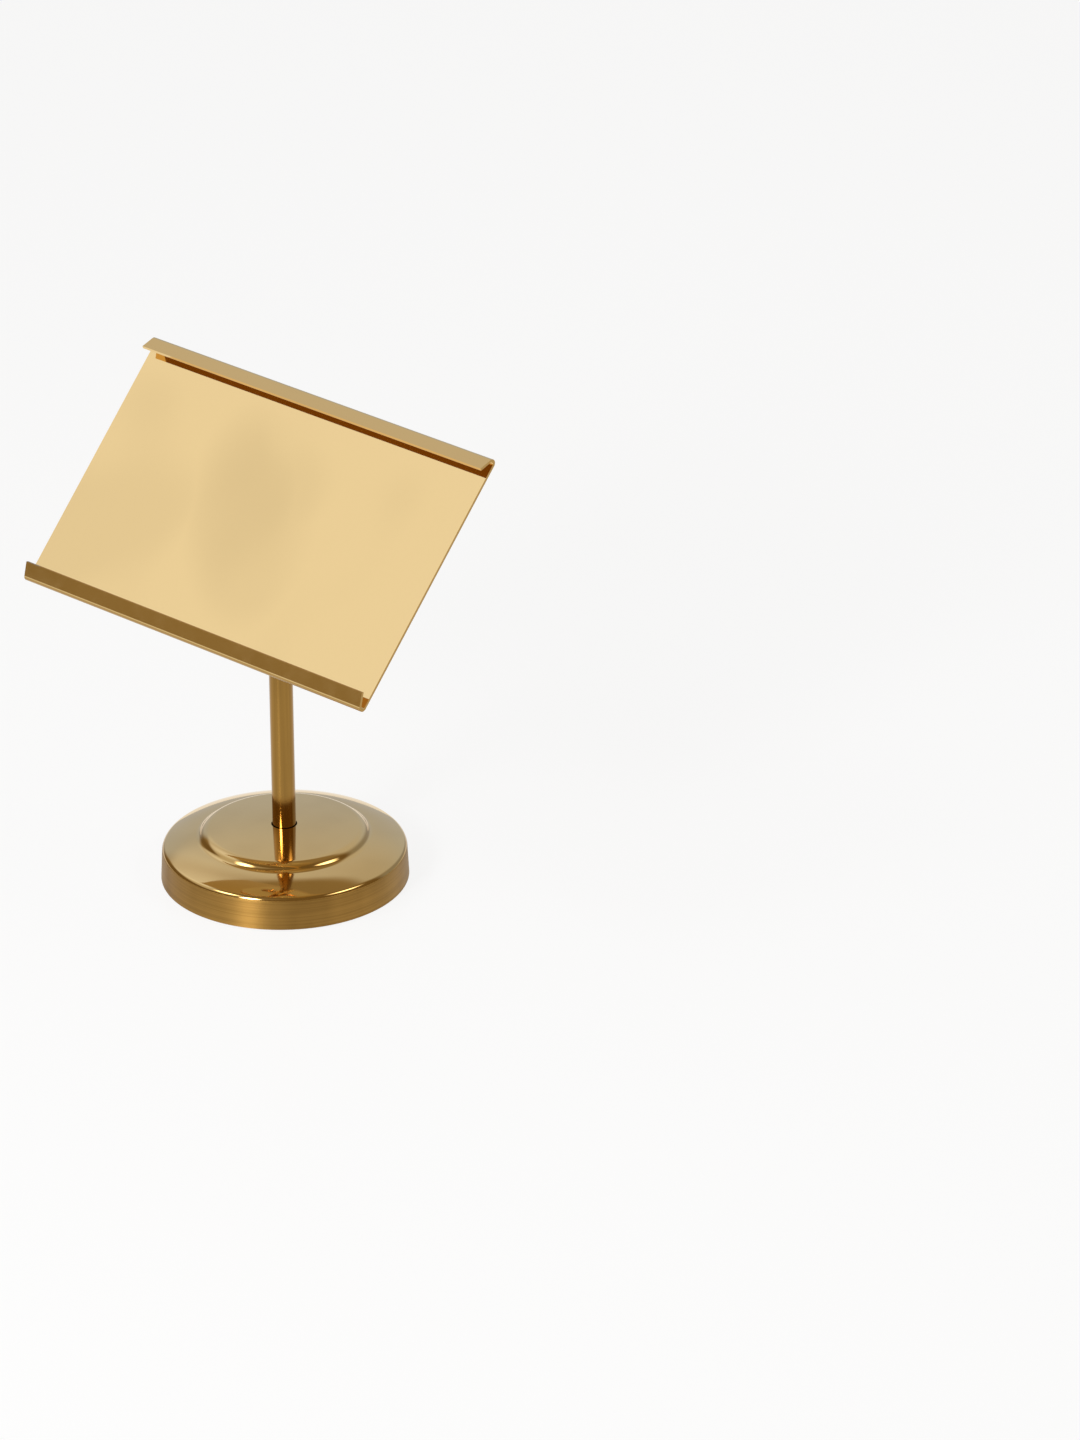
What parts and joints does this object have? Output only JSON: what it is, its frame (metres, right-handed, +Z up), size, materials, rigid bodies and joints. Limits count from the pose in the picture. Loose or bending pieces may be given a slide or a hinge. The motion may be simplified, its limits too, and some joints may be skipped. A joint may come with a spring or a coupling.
{
  "type": "table sign holder",
  "caption": "Table sign holder: a folded metal plate with card channels on a friction tilt hinge, a round stem and a weighted stepped round base.",
  "frame": {"origin": "centre of the underside of the base pad, on the stem's axis, on the table top", "axes": "+Z up along the stem, -Y towards the viewer that the sign plate faces, +X along the sign plate's width"},
  "size_m": [0.154, 0.085, 0.1689],
  "materials": {
    "polished_gold": "mirror polished gold colour",
    "drawn_gold": "polished gold colour, skirt a little satin",
    "cast_weight": "rough black",
    "pad": "matt black sheet",
    "zinc_steel": "zinc plated",
    "white_foam": "matt foam",
    "black_nylon": "matt"
  },
  "bodies": {
    "base": {"base_shell": "drawn_gold", "ballast_disc": "cast_weight", "base_pad": "pad", "stem": "polished_gold", "stem_screw": "zinc_steel", "stem_washer": "zinc_steel"},
    "head": {"pivot_rivet": "polished_gold", "friction_washers": "black_nylon", "bracket_plate": "polished_gold", "foam_tape": "white_foam", "sign_plate": "polished_gold"}
  },
  "joints": [
    {"name": "tilt", "type": "hinge", "parent": "base", "child": "head", "pos_m": [0, 0, 0.122], "axis": [-1, 0, 0], "range_deg": [-56, 146.5]}
  ]
}
